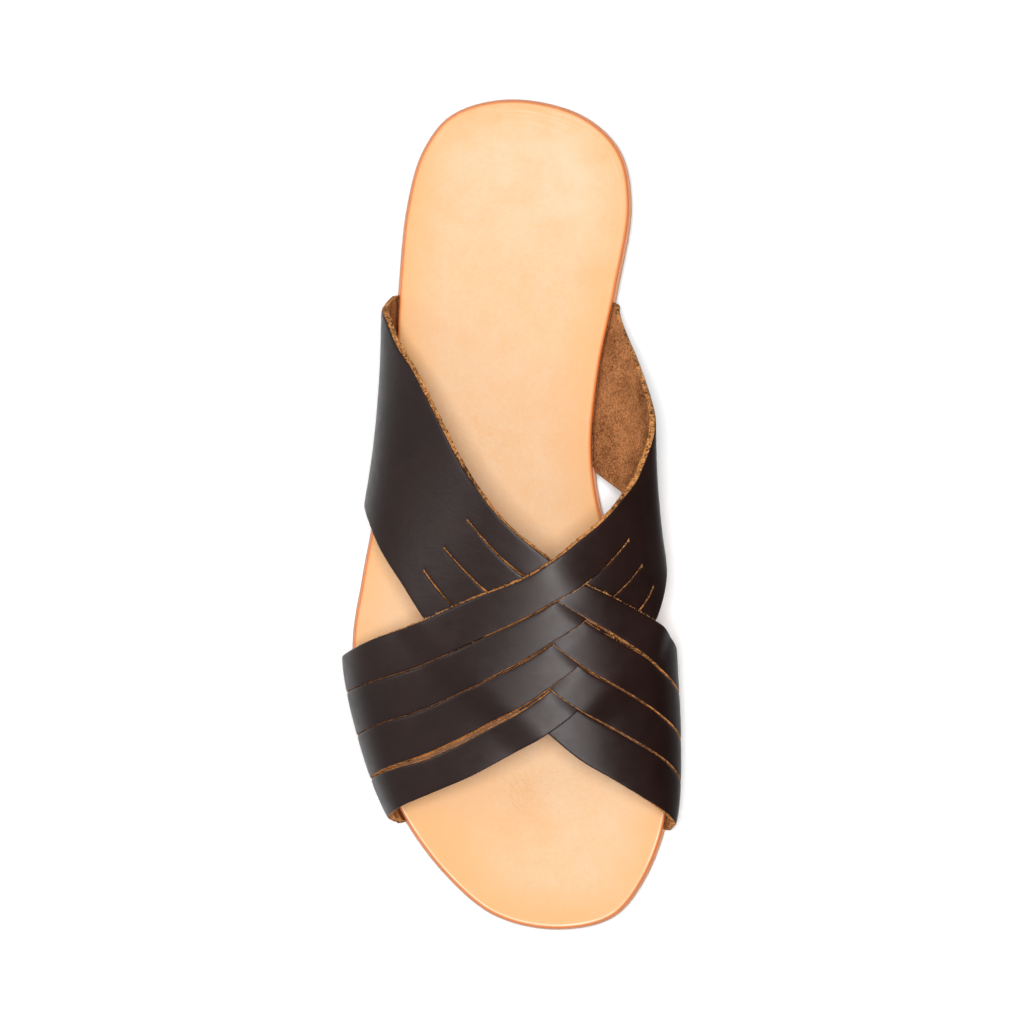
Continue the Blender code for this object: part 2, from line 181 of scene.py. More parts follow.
def lastPoints(turn, along):
    rows, half = np.array(lastRows), np.array(sectionRows)
    sized = smoothCurve(along / shoe["length"], rows[:, 0], rows[:, 1:])
    top = soleRise(along) + shoe["outsoleThick"]
    crownX, crownZ = sized[:, 3] * shoe["ballWidth"], sized[:, 4] * shoe["instepHeight"]
    halves = []
    for side, bulgeCol, heightCol, fullCol in ((-1, 0, 1, 2), (1, 7, 6, 5)):
        bulge = sized[:, bulgeCol] * shoe["ballWidth"]
        height = sized[:, heightCol] * shoe["instepHeight"]
        full = sized[:, fullCol]
        nodes = []
        for _, offset, bulgeShare, inward, lift, heightShare in half:
            out = offset * shoe["insoleThick"] + bulgeShare * bulge
            wallX = edgeAcross(along, side) + side * out
            wallZ = top + lift * shoe["insoleThick"] + heightShare * height
            quarter = math.sqrt(1.0 - (1.0 - inward) ** 2)
            roundCrown = full + (1.0 - full) * inward**2
            upward = inward + roundCrown * (quarter - inward)
            across = wallX + (crownX - wallX) * inward
            nodes.append(np.stack([across, wallZ + (crownZ - wallZ) * upward], 1))
        halves.append(nodes)
    nodes = np.stack(halves[0] + halves[1][:-1][::-1], 1)
    keys = np.concatenate([-half[:, 0], half[:-1, 0][::-1]])
    step = np.diff(keys)[None, :, None]
    rate = np.diff(nodes, axis=1) / step
    middle = (rate[:, :-1] * step[:, 1:] + rate[:, 1:] * step[:, :-1]) / (step[:, 1:] + step[:, :-1])
    slope = np.concatenate([rate[:, :1], middle, rate[:, -1:]], 1)
    span = np.clip(np.searchsorted(keys, turn, side="right") - 1, 0, len(keys) - 2)
    width = (keys[span + 1] - keys[span])[:, None]
    t = (turn - keys[span])[:, None] / width
    row, end = np.arange(len(turn)), span + 1
    flat = spanCurve(t, width, nodes[row, span], slope[row, span], nodes[row, end], slope[row, end])
    return np.stack([flat[:, 0] + shoe["acrossShift"], shoe["length"] / 2 - along, flat[:, 1]], 1)


crownRound = {"reach": 0.06, "until": 0.60, "fade": 0.25}  # in turns
normalStep = {"turn": 0.004, "along": 0.0004}  # to either side of a point


def softPoints(turn, along):  # the crown of the last, rounded over a little
    fade = np.clip((crownRound["until"] - np.abs(turn)) / crownRound["fade"], 0.0, 1.0)
    reach = crownRound["reach"] * fade
    beside = lastPoints(turn - reach, along) + lastPoints(turn + reach, along)
    return (2.0 * lastPoints(turn, along) + beside) / 4.0


def raisedPoints(turn, along, raised):  # points that stand off the last
    stepTurn, stepAlong = normalStep["turn"], normalStep["along"]
    over = softPoints(turn + stepTurn, along) - softPoints(turn - stepTurn, along)
    down = softPoints(turn, along + stepAlong) - softPoints(turn, along - stepAlong)
    normal = np.cross(down, over)
    normal /= np.linalg.norm(normal, axis=1)[:, None]
    return softPoints(turn, along) + normal * np.reshape(raised, (-1, 1))


def settle(item, body, node):  # every piece rides on the one body
    item.location = (0, 0, 0)
    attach(item, body)
    if node:
        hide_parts(node)


def startPiece(name):  # names the primitive that was just added
    bpy.ops.object.select_all(action="DESELECT")
    item = bpy.context.object
    item.name = name
    item.data.name = name
    return item


def newFinish(name):
    finish = bpy.data.materials.new(name)
    finish.use_nodes = True
    tree = finish.node_tree
    return finish, tree, tree.nodes["Principled BSDF"]


def addNode(tree, kind, sockets=None, **settings):
    node = tree.nodes.new(kind)
    for key, value in settings.items():
        setattr(node, key, value)
    for key, value in (sockets or {}).items():
        if isinstance(value, bpy.types.NodeSocket):
            tree.links.new(value, node.inputs[key])
        else:
            node.inputs[key].default_value = value
    return node


def inMillimetres(tree, stretch=(1.0, 1.0, 1.0)):
    place = addNode(tree, "ShaderNodeTexCoord").outputs["Object"]
    scale = tuple(1000.0 * s for s in stretch)
    return addNode(tree, "ShaderNodeMapping", {"Vector": place, "Scale": scale}).outputs[0]


def noise(tree, where, scale, detail=3.0, rough=0.55, distort=0.0):
    sockets = {"Vector": where, "Scale": scale, "Detail": detail}
    sockets.update({"Roughness": rough, "Distortion": distort})
    return addNode(tree, "ShaderNodeTexNoise", sockets).outputs["Fac"]


def rampBetween(tree, fac, low, high, colourLow, colourHigh):
    ramp = addNode(tree, "ShaderNodeValToRGB", {"Fac": fac})
    ramp.color_ramp.elements[0].position = low
    ramp.color_ramp.elements[0].color = (*colourLow, 1.0)
    ramp.color_ramp.elements[1].position = high
    ramp.color_ramp.elements[1].color = (*colourHigh, 1.0)
    return ramp.outputs["Color"]


def mixColours(tree, fac, a, b):
    node = addNode(tree, "ShaderNodeMix", data_type="RGBA", blend_type="MIX")
    for key, value in (("Factor", fac), ("A", a), ("B", b)):
        socket = [s for s in node.inputs if s.name == key and s.enabled][0]
        if isinstance(value, bpy.types.NodeSocket):
            tree.links.new(value, socket)
        else:
            socket.default_value = value if key == "Factor" else (*value, 1.0)
    return [s for s in node.outputs if s.enabled][0]


def timesOf(tree, a, b):
    return addNode(tree, "ShaderNodeMath", {0: a, 1: b}, operation="MULTIPLY").outputs[0]


def sumOf(tree, parts):  # weighted sum of factor sockets
    total = None
    for fac, weight in parts:
        term = timesOf(tree, fac, weight)
        if total is not None:
            term = addNode(tree, "ShaderNodeMath", {0: total, 1: term}, operation="ADD").outputs[0]
        total = term
    return total


def bumpFrom(tree, shader, height, depth):
    node = addNode(tree, "ShaderNodeBump", {"Height": height, "Distance": depth, "Strength": 1.0})
    tree.links.new(node.outputs["Normal"], shader.inputs["Normal"])


def rangeOf(tree, value, low, high, toLow=0.0, toHigh=1.0):
    sockets = {"Value": value, "From Min": low, "From Max": high, "To Min": toLow, "To Max": toHigh}
    return addNode(tree, "ShaderNodeMapRange", sockets).outputs["Result"]


# dyed grain side of the straps
grainLook = {
    "dark": (0.0128, 0.0049, 0.0038),
    "light": (0.0212, 0.0085, 0.0068),
    "rough": (0.33, 0.41),
    "poreScale": 2.4,
    "depth": 0.00003,
}


def makeGrain():
    finish, tree, shader = newFinish("grainLeather")
    where = inMillimetres(tree)
    broad = noise(tree, where, 0.045, 4.0, 0.6, 0.6)
    colour = rampBetween(tree, broad, 0.32, 0.72, grainLook["dark"], grainLook["light"])
    tree.links.new(colour, shader.inputs["Base Color"])
    sockets = {"Vector": where, "Scale": grainLook["poreScale"]}
    pores = addNode(tree, "ShaderNodeTexVoronoi", sockets, feature="F1").outputs["Distance"]
    fine = noise(tree, where, 5.0, 2.0)
    folds = noise(tree, inMillimetres(tree, (0.25, 1.0, 0.6)), 0.35, 3.0, 0.55, 0.8)
    rough = rangeOf(tree, noise(tree, where, 0.25, 4.0), 0.3, 0.7, *grainLook["rough"])
    tree.links.new(rough, shader.inputs["Roughness"])
    height = sumOf(tree, ((pores, 0.35), (fine, 0.30), (folds, 1.6)))
    bumpFrom(tree, shader, height, grainLook["depth"])
    shader.inputs["Specular IOR Level"].default_value = 0.5
    return finish


# fuzzy flesh side
suedeLook = {"dark": (0.085, 0.022, 0.006), "light": (0.70, 0.30, 0.115), "depth": 0.0006}


def makeSuede():
    finish, tree, shader = newFinish("suedeInside")
    where = inMillimetres(tree)
    patches = noise(tree, where, 0.10, 4.0, 0.6, 0.4)
    nap = noise(tree, where, 0.70, 5.0, 0.75, 2.4)
    flecks = noise(tree, where, 2.2, 3.0, 0.6, 1.2)
    fac = sumOf(tree, ((patches, 0.22), (nap, 0.46), (flecks, 0.32)))
    colour = rampBetween(tree, fac, 0.41, 0.58, suedeLook["dark"], suedeLook["light"])
    tree.links.new(colour, shader.inputs["Base Color"])
    shader.inputs["Roughness"].default_value = 0.95
    shader.inputs["Specular IOR Level"].default_value = 0.12
    bumpFrom(tree, shader, sumOf(tree, ((nap, 1.0), (flecks, 0.6))), suedeLook["depth"])
    return finish


# cut edges, and the fibres that stand off them
rawLook = {
    "dark": (0.055, 0.018, 0.006),
    "light": (0.72, 0.31, 0.095),
    "fibreDark": (0.34, 0.13, 0.04),
    "fibreLight": (0.86, 0.47, 0.19),
    "depth": 0.0004,
}


def makeRawEdge(name, dark, light):
    finish, tree, shader = newFinish(name)
    where = inMillimetres(tree)
    fibres = noise(tree, where, 0.85, 5.0, 0.72, 1.4)
    patches = noise(tree, where, 0.12, 3.0)
    fac = sumOf(tree, ((fibres, 0.72), (patches, 0.28)))
    tree.links.new(rampBetween(tree, fac, 0.42, 0.57, dark, light), shader.inputs["Base Color"])
    shader.inputs["Roughness"].default_value = 0.9
    shader.inputs["Specular IOR Level"].default_value = 0.2
    bumpFrom(tree, shader, fibres, rawLook["depth"])
    return finish


grain, suede = makeGrain(), makeSuede()
rawEdge = makeRawEdge("rawCutEdge", rawLook["dark"], rawLook["light"])
looseFibre = makeRawEdge("looseFibre", rawLook["fibreDark"], rawLook["fibreLight"])
print("leather finishes made")

# turn, then along at the back edge, the three slits and the front edge
innerLines = (
    (1.11, 0.244, 0.294, 0.344, 0.392, 0.440),
    (1.00, 0.245, 0.295, 0.345, 0.393, 0.442),
    (0.94, 0.251, 0.302, 0.352, 0.399, 0.449),
    (0.82, 0.315, 0.358, 0.402, 0.444, 0.489),
    (0.72, 0.371, 0.412, 0.455, 0.497, 0.541),
    (0.62, 0.416, 0.458, 0.502, 0.545, 0.587),
    (0.53, 0.450, 0.497, 0.542, 0.584, 0.620),
    (0.41, 0.480, 0.531, 0.574, 0.616, 0.650),
    (0.30, 0.504, 0.556, 0.596, 0.640, 0.681),
    (0.16, 0.529, 0.581, 0.622, 0.669, 0.719),
    (0.03, 0.552, 0.600, 0.646, 0.700, 0.752),
    (-0.07, 0.573, 0.621, 0.671, 0.728, 0.776),
    (-0.19, 0.594, 0.647, 0.699, 0.757, 0.802),
    (-0.34, 0.623, 0.676, 0.727, 0.783, 0.824),
    (-0.49, 0.644, 0.694, 0.744, 0.798, 0.841),
    (-0.64, 0.662, 0.707, 0.758, 0.810, 0.855),
    (-0.79, 0.671, 0.715, 0.767, 0.819, 0.865),
    (-0.95, 0.677, 0.719, 0.771, 0.823, 0.869),
    (-1.11, 0.681, 0.723, 0.775, 0.827, 0.873),
)
outerLines = (
    (-1.11, 0.235, 0.298, 0.361, 0.418, 0.470),
    (-1.00, 0.236, 0.299, 0.361, 0.418, 0.470),
    (-0.94, 0.238, 0.300, 0.362, 0.419, 0.471),
    (-0.82, 0.246, 0.309, 0.370, 0.426, 0.477),
    (-0.72, 0.256, 0.321, 0.382, 0.438, 0.489),
    (-0.62, 0.269, 0.338, 0.400, 0.457, 0.508),
    (-0.53, 0.298, 0.365, 0.429, 0.484, 0.536),
    (-0.42, 0.333, 0.404, 0.469, 0.526, 0.578),
    (-0.33, 0.379, 0.452, 0.517, 0.571, 0.621),
    (-0.21, 0.452, 0.507, 0.567, 0.620, 0.671),
    (-0.11, 0.505, 0.551, 0.604, 0.657, 0.710),
    (0.03, 0.550, 0.593, 0.647, 0.701, 0.753),
    (0.16, 0.574, 0.618, 0.675, 0.727, 0.784),
    (0.30, 0.593, 0.642, 0.698, 0.750, 0.808),
    (0.44, 0.614, 0.665, 0.721, 0.772, 0.831),
    (0.57, 0.635, 0.689, 0.744, 0.793, 0.850),
    (0.72, 0.660, 0.713, 0.767, 0.817, 0.867),
    (0.85, 0.673, 0.725, 0.779, 0.829, 0.874),
    (0.95, 0.679, 0.731, 0.784, 0.835, 0.878),
    (1.11, 0.685, 0.735, 0.788, 0.838, 0.883),
)

strapLook = {
    "thick": 0.0020,
    "overLift": 0.0020,  # how far a strip rises to lie over another
    # length along while it changes level, and how early it starts, hidden
    "switch": (0.0115, 0.0020),
    "firstSwitch": (0.022, 0.0040),  # the same for the topmost strip
    "runOut": 0.016,  # it comes down again over this length
    "arris": 0.00022,  # how far the top edge is rounded down
    "arrisReach": (0.00020, 0.00016),  # back, front
    "softDrop": 0.00007,  # a wider, softer rounding beside it
    "softReach": (0.0011, 0.0009),
    "curl": 0.00022,  # the lifted front edge near the crossing
    "curlReach": 0.010,
    "curlFrom": 0.72,  # share of the strip's width
    "closedGap": 0.0002,
    "punch": 0.0008,  # small round hole where a slit starts
    "curlRise": 1.5,  # power of the curl's rise to the front edge
    "slitOpens": 0.003,  # turns until a slit is fully open
    "slitWidens": 0.006,  # metres until it may be wider
    "widerGap": 0.4,  # share of the extra width seen in the gap
    "widerLean": 0.8,  # and in the lean of its front cut
    "ragged": 0.00014,
    "raggedFree": 0.00026,  # on the back edge
    "leanFade": 8,  # how soon the lean of a cut dies out across the strip
    "tuckFrom": 0.93,  # turn where the ends start to go under the insole
    "tuckOver": 0.05,
    "tuckedLean": 0.6,  # share of the lean that is lost there
    "turnPerMetre": 8.85,
    "smoothAngle": 42,
}

# lean of the cut edges, back then front, for the four strips: how much of the
# raw edge shows from above
innerLean = ((0.00042, 0.00004, 0.00004, 0.00012), (0.00002, 0.00002, 0.00020, -0.0001))
outerLean = ((0.00032, 0.00006, 0.00008, 0.00008), (0.00006, 0.00004, 0.00004, -0.0001))

# turn where each slit starts, its gap in metres, where it opens widest, how
# much wider there, and how far that reaches
innerSlits = (
    (0.42, 0.00030, 0.30, 0.00012, 0.10),
    (0.475, 0.00032, -0.02, 0.00025, 0.12),
    (0.53, 0.00034, -0.22, 0.00115, 0.30),
)
outerSlits = (
    (-0.215, 0.00045, 0.25, 0.00085, 0.14),
    (-0.285, 0.00042, 0.10, 0.00000, 0.12),
    (-0.345, 0.00040, -0.20, 0.00005, 0.12),
)

innerWorn = (-0.16, 0.20)  # turns between which the front arris is worn raw
outerWorn = (-0.17, 0.97)

stripCount = 4
stripPlaces = (  # columns of points across each strip
    0.0, 0.012, 0.035, 0.08, 0.16, 0.27, 0.39, 0.50,
    0.61, 0.73, 0.84, 0.92, 0.962, 0.982, 1.0,
)
wallTurns = (  # rows of points down the side of the sole
    1.11, 1.08, 1.05, 1.03, 1.018, 1.008, 1.0, 0.993,
    0.987, 0.981, 0.975, 0.967, 0.957, 0.945, 0.93, 0.91,
)
freeTurns = (0.885, 178)  # the rows between, and how many
# rows round the punched start of a slit, and the stretch they take the place of
punchTurns = (-0.0012, 0.0, 0.0006, 0.0015, 0.0028, 0.0041, 0.0054, 0.0064, 0.0074, 0.0100)
punchClear = (0.0040, 0.0145)


def lineAlong(lines, index, turn):
    rows = np.array(sorted(lines))
    return smoothCurve(turn, rows[:, 0], rows[:, 1 + index]) * shoe["length"]


def slitGap(slit, turn, root):
    start, gap, widest, extra, reach = slit
    inside = (start - turn) * root / strapLook["turnPerMetre"]  # metres past the slit's start
    radius = strapLook["punch"] / 2
    hole = 2.0 * np.sqrt(np.clip(radius**2 - (inside - radius) ** 2, 0.0, None))
    wider = np.exp(-(((turn - widest) / reach) ** 2))
    wider = wider * np.clip(inside / strapLook["slitWidens"], 0.0, 1.0)
    wide = gap + extra * strapLook["widerGap"] * wider
    return np.where(inside > 0.0, np.maximum(wide, hole), strapLook["closedGap"])


def panelTurns(root, slits):
    wall = np.array(wallTurns)
    span = np.linspace(freeTurns[0], -freeTurns[0], freeTurns[1])
    turns = np.concatenate([wall, span, -wall[::-1]])
    for slit in slits:
        start = slit[0] * root
        turns = turns[(turns > start + punchClear[0]) | (turns < start - punchClear[1])]
        turns = np.sort(np.concatenate([turns, start - np.array(punchTurns)]))[::-1]
    return turns * root


def stripEdges(strip, lines, slits, turns, root):
    # both edges of a strip, and how far the slit at each has opened, 0 to 1
    back, front = lineAlong(lines, strip, turns), lineAlong(lines, strip + 1, turns)
    openBack, openFront = np.ones(len(turns)), np.ones(len(turns))
    opens = strapLook["slitOpens"]
    if strip > 0:
        back = back + slitGap(slits[strip - 1], turns, root) / 2
        openBack = np.clip((slits[strip - 1][0] - turns) * root / opens, 0.0, 1.0)
    if strip < stripCount - 1:
        front = front - slitGap(slits[strip], turns, root) / 2
        openFront = np.clip((slits[strip][0] - turns) * root / opens, 0.0, 1.0)
    return back, front, openBack, openFront


def weaveLift(number, share, along, turns, other, openFront):
    # how far a strip stands off the last where it has passed the other panel's
    # line of this number; past the other's front edge it comes down again
    if number == stripCount:
        return np.zeros(len(turns))
    past = along - lineAlong(other, number, turns)
    length, lead = strapLook["firstSwitch" if number == 0 else "switch"]
    over = ease((past + lead) / length)
    curlZone = np.exp(-((past / strapLook["curlReach"]) ** 2))
    leave = ease((along - lineAlong(other, stripCount, turns)) / strapLook["runOut"] - 0.5)
    lift = strapLook["overLift"] * over * (1.0 - leave)
    start = strapLook["curlFrom"]
    curled = np.clip((share - start) / (1.0 - start), 0.0, 1.0) ** strapLook["curlRise"]
    return lift + strapLook["curl"] * over * curlZone * openFront * curled


def frontLean(strip, slits, lean, turns):
    if strip == stripCount - 1:
        return lean
    _, _, widest, extra, reach = slits[strip]
    return lean + extra * strapLook["widerLean"] * np.exp(-(((turns - widest) / reach) ** 2))


def strapPanel(name, lines, slits, lean, worn, other, otherFirst, seed):
    root = np.sign(lines[0][0])
    turns = panelTurns(root, slits)
    rng = np.random.RandomState(seed)
    # strip number and place across it, for each column
    places = [(strip, share) for strip in range(stripCount) for share in stripPlaces]
    rows, cols = len(turns), len(places)
    bpy.ops.object.select_all(action="DESELECT")
    bpy.ops.mesh.primitive_grid_add(x_subdivisions=cols - 1, y_subdivisions=rows - 1, size=1.0)
    panel = startPiece(name)

    inner, outer = [], []
    arrisBack, arrisFront = strapLook["arrisReach"]
    softBack, softFront = strapLook["softReach"]
    tucked = np.clip((np.abs(turns) - strapLook["tuckFrom"]) / strapLook["tuckOver"], 0.0, 1.0)
    for strip, share in places:
        back, front, openBack, openFront = stripEdges(strip, lines, slits, turns, root)
        width = front - back
        along = back + width * share
        lift = weaveLift(strip if otherFirst else strip + 1, share, along, turns, other, openFront)
        nearBack, nearFront = share * width, (1.0 - share) * width
        dropBack = strapLook["arris"] * np.exp(-nearBack / arrisBack) * openBack
        dropFront = strapLook["arris"] * np.exp(-nearFront / arrisFront) * openFront
        soft = np.exp(-nearBack / softBack) * openBack + np.exp(-nearFront / softFront) * openFront
        soft = strapLook["softDrop"] * soft
        leanBack = lean[0][strip] * openBack * (1.0 - share) ** strapLook["leanFade"]
        leanFront = frontLean(strip, slits, lean[1][strip], turns)
        leanFront = leanFront * openFront * share ** strapLook["leanFade"]
        outAlong = along + (leanBack - leanFront) * (1.0 - tucked * strapLook["tuckedLean"])
        if share in (0.0, 1.0):  # the flesh side is cut less cleanly
            isOpen = openBack if share == 0.0 else openFront
            ragged = strapLook["raggedFree" if (strip, share) == (0, 0.0) else "ragged"]
            along = along + rng.uniform(-1.0, 1.0, rows) * ragged * isOpen
        top = lift + strapLook["thick"] - dropBack - dropFront - soft
        inner.append(raisedPoints(turns, along, lift))
        outer.append(raisedPoints(turns, outAlong, top))
    inner, outer = np.array(inner), np.array(outer)  # columns, rows, 3

    # each grid vertex knows its column and row from where it starts
    flat = np.empty(len(panel.data.vertices) * 3)
    panel.data.vertices.foreach_get("co", flat)
    flat = flat.reshape(-1, 3)
    col = np.rint((flat[:, 0] + 0.5) * (cols - 1)).astype(int)
    row = np.rint((flat[:, 1] + 0.5) * (rows - 1)).astype(int)
    panel.data.vertices.foreach_set("co", inner[col, row].ravel())

    # cut the slits: drop the narrow faces between strips past each slit's start
    perStrip = len(stripPlaces)
    for face in panel.data.polygons:
        corners = list(face.vertices)
        low = col[corners].min()
        slit = slits[min((low + 1) // perStrip, stripCount - 1) - 1]
        past = (slit[0] - turns[row[corners]].mean()) * root
        face.select = bool((low + 1) % perStrip == 0 and low + 1 < cols and past > 0)
    for part in list(panel.data.vertices) + list(panel.data.edges):
        part.select = False
    panel.select_set(True)
    bpy.context.view_layer.objects.active = panel
    bpy.ops.object.mode_set(mode="EDIT")
    bpy.ops.mesh.select_mode(type="FACE")
    bpy.ops.mesh.delete(type="ONLY_FACE")
    bpy.ops.mesh.select_mode(type="VERT")
    bpy.ops.mesh.select_all(action="SELECT")
    bpy.ops.mesh.normals_make_consistent(inside=False)
    bpy.ops.object.mode_set(mode="OBJECT")
    middle = panel.data.polygons[len(panel.data.polygons) // 2]
    if middle.normal.z < 0:
        bpy.ops.object.mode_set(mode="EDIT")
        bpy.ops.mesh.flip_normals()
        bpy.ops.object.mode_set(mode="OBJECT")

    for finish in (grain, suede, rawEdge):
        panel.data.materials.append(finish)
    rawSlot = 2
    count = len(panel.data.vertices)
    thicken = panel.modifiers.new("leather", "SOLIDIFY")
    thicken.thickness = strapLook["thick"]
    thicken.offset = 1.0
    thicken.material_offset = 1
    thicken.material_offset_rim = rawSlot
    bpy.ops.object.modifier_apply(modifier=thicken.name)

    # both faces of the leather take their own points
    total = len(panel.data.vertices)
    spots = np.empty(total * 3)
    panel.data.vertices.foreach_get("co", spots)
    spots = spots.reshape(-1, 3)
    wanted = np.concatenate([inner[col, row], outer[col, row]])
    firstIsInner = np.linalg.norm(spots[:count] - inner[col, row], axis=1).mean() < 1e-5
    if not firstIsInner:
        wanted = np.concatenate([outer[col, row], inner[col, row]])
    panel.data.vertices.foreach_set("co", wanted.ravel())
    panel.data.update()
    columnOf, rowOf = np.concatenate([col, col]), np.concatenate([row, row])
    outerVerts = np.arange(total) >= count if firstIsInner else np.arange(total) < count
    # the worn front arris of each strip
    for face in panel.data.polygons:
        corners = list(face.vertices)
        front = columnOf[corners].max()
        if not outerVerts[corners].all() or front % perStrip != perStrip - 1 or front == cols - 1:
            continue
        at = turns[rowOf[corners]].mean()
        if (slits[front // perStrip][0] - at) * root > 0 and worn[0] < at < worn[1]:
            face.material_index = rawSlot
    bpy.ops.object.shade_smooth_by_angle(angle=math.radians(strapLook["smoothAngle"]))
    settle(panel, "root", "upper")
    return inner, outer, turns


innerShape = strapPanel(
    "innerPanel", innerLines, innerSlits, innerLean, innerWorn, outerLines, otherFirst=True, seed=3
)
outerShape = strapPanel(
    "outerPanel", outerLines, outerSlits, outerLean, outerWorn, innerLines, otherFirst=False, seed=5
)
print("woven panels made")

soleLook = {
    "insoleInset": 0.0008,
    "insoleRound": 0.0013,
    "outsoleRound": 0.0007,
    "lowerRound": 0.7,  # rounding of a slab's lower edge, share of the upper
    "ringDepths": (0.00025, 0.0006, 0.0013, 0.0024, 0.0045, 0.009, 0.017),
    "cutsAlong": 72,
    "cutsAcross": 15,
    "heelBreast": 0.066,
    "breastHollow": 0.004,
    "breastPoints": 25,
    "breastCorner": 0.0015,  # kept free of the outline's own points
    "heelInset": 0.0006,
    "heelRound": 0.0003,
    "heelRingDepths": (0.0002, 0.0005),
    "tapThick": 0.0026,
    "smoothAngle": 50,
}


def insetRing(ring, inset):
    ahead = np.roll(ring, -1, axis=0) - np.roll(ring, 1, axis=0)
    normal = np.stack([ahead[:, 1], -ahead[:, 0]], 1)
    normal /= np.linalg.norm(normal, axis=1)[:, None]
    return ring - normal * inset


def rimDistance(points, ring):  # from each point to the nearest side of the ring
    best = np.full(len(points), 1.0)
    nxt = np.roll(ring, -1, axis=0)
    for a, b in zip(ring, nxt):
        ab = b - a
        t = np.clip(((points - a) @ ab) / (ab @ ab), 0.0, 1.0)
        best = np.minimum(best, np.linalg.norm(points - (a + t[:, None] * ab), axis=1))
    return best


def roundDrop(distance, radius):  # how far a rounded edge lies below the flat
    inside = np.clip(radius - distance, 0.0, radius)
    return radius - np.sqrt(np.maximum(radius**2 - inside**2, 0.0))


def cutAcross(place, normal):
    bpy.ops.mesh.select_all(action="SELECT")
    bpy.ops.mesh.bisect(plane_co=place, plane_no=normal, threshold=1e-5)


def soleSlab(name, ring, thick, lift, edgeRound, depths, bent=True):
    # face, inset rings, cuts across, then a wall and a lower face; a bent slab
    # follows the rise of the sole
    bpy.ops.object.select_all(action="DESELECT")
    bpy.ops.mesh.primitive_circle_add(vertices=len(ring), radius=0.1, fill_type="NGON")
    slab = startPiece(name)
    slab.select_set(True)
    bpy.context.view_layer.objects.active = slab
    for vert, (across, along) in zip(slab.data.vertices, ring):
        vert.co = (across + shoe["acrossShift"], shoe["length"] / 2 - along, 0.0)
    bpy.ops.object.mode_set(mode="EDIT")
    bpy.ops.mesh.select_all(action="SELECT")
    bpy.ops.mesh.normals_make_consistent(inside=False)
    before = 0.0
    for depth in depths:
        bpy.ops.mesh.inset(thickness=depth - before, depth=0.0, use_boundary=True)
        before = depth
    if bent:
        for cut in range(1, soleLook["cutsAlong"]):
            along = shoe["length"] * cut / soleLook["cutsAlong"]
            cutAcross((0.0, shoe["length"] / 2 - along, 0.0), (0.0, 1.0, 0.0))
        for cut in range(1, soleLook["cutsAcross"]):
            across = shoe["ballWidth"] * (cut / soleLook["cutsAcross"] - 0.5)
            cutAcross((across, 0.0, 0.0), (1.0, 0.0, 0.0))
    bpy.ops.mesh.select_all(action="SELECT")
    bpy.ops.mesh.normals_make_consistent(inside=False)
    bpy.ops.mesh.extrude_region_move(TRANSFORM_OT_translate={"value": (0.0, 0.0, -thick)})
    bpy.ops.mesh.select_all(action="SELECT")
    bpy.ops.mesh.normals_make_consistent(inside=False)
    bpy.ops.object.mode_set(mode="OBJECT")
    mesh = slab.data
    spots = np.empty(len(mesh.vertices) * 3)
    mesh.vertices.foreach_get("co", spots)
    spots = spots.reshape(-1, 3)
    flat = np.stack([spots[:, 0] - shoe["acrossShift"], shoe["length"] / 2 - spots[:, 1]], 1)
    rim = rimDistance(flat, ring)
    topSide = spots[:, 2] > -thick / 2
    drop = roundDrop(rim, edgeRound)
    spots[:, 2] += np.where(topSide, -drop, roundDrop(rim, edgeRound * soleLook["lowerRound"]))
    spots[:, 2] += lift + (soleRise(flat[:, 1]) if bent else 0.0)
    mesh.vertices.foreach_set("co", spots.ravel())
    # millimetres in from the rim on the upper side, -1000 on the lower side
    rimLayer = mesh.attributes.new("rim", "FLOAT", "POINT")
    rimLayer.data.foreach_set("value", np.where(topSide, rim, -1.0) * 1000.0)
    mesh.update()
    bpy.ops.object.shade_smooth_by_angle(angle=math.radians(soleLook["smoothAngle"]))
    return slab


insoleLook = {
    "pale": (0.725, 0.480, 0.285),
    "warm": (0.715, 0.425, 0.215),
    "rimTint": (0.730, 0.375, 0.140),
    "burnish": (0.79, 0.205, 0.050),
    "scuff": (0.80, 0.62, 0.44),
    # painted highlight along the insole's rim, where the rounded edge would catch the light
    "paintedRimHighlight": (0.95, 0.74, 0.55),
    "warmToe": ((-24.0, -100.0), 38.0),  # place in millimetres and reach
    "rubbedHeel": ((9.0, 110.0), 44.0),
    "depth": 0.00006,
}

# place in millimetres, reach, turn in degrees, strength of small wrinkles
insoleWrinkles = (
    ((4.0, -86.0), 17.0, -58.0, 0.8),
    ((20.0, -84.0), 15.0, 10.0, 0.5),
    ((-7.0, 24.0), 15.0, -35.0, 0.5),
)


def softSpot(tree, place, reach):  # 1 in the middle, 0 from the reach outwards
    where = addNode(tree, "ShaderNodeTexCoord").outputs["Object"]
    scale = 1000.0 / reach
    middle = (-place[0] / reach, -place[1] / reach, 0.0)
    sockets = {"Vector": where, "Location": middle, "Scale": (scale, scale, 0.0)}
    placed = {"Vector": addNode(tree, "ShaderNodeMapping", sockets).outputs[0]}
    return addNode(tree, "ShaderNodeTexGradient", placed, gradient_type="SPHERICAL").outputs["Fac"]


def turnedFolds(tree, degrees, stretch, scale):  # folds at an angle, -0.5 to 0.5
    sockets = {
        "Vector": addNode(tree, "ShaderNodeTexCoord").outputs["Object"],
        "Rotation": (0.0, 0.0, math.radians(degrees)),
        "Scale": (0.001 / stretch, 0.001, 0.001),
    }
    placed = addNode(tree, "ShaderNodeMapping", sockets, vector_type="TEXTURE").outputs[0]
    return rangeOf(tree, noise(tree, placed, scale, 3.0, 0.5, 0.6), 0.0, 1.0, -0.5, 0.5)


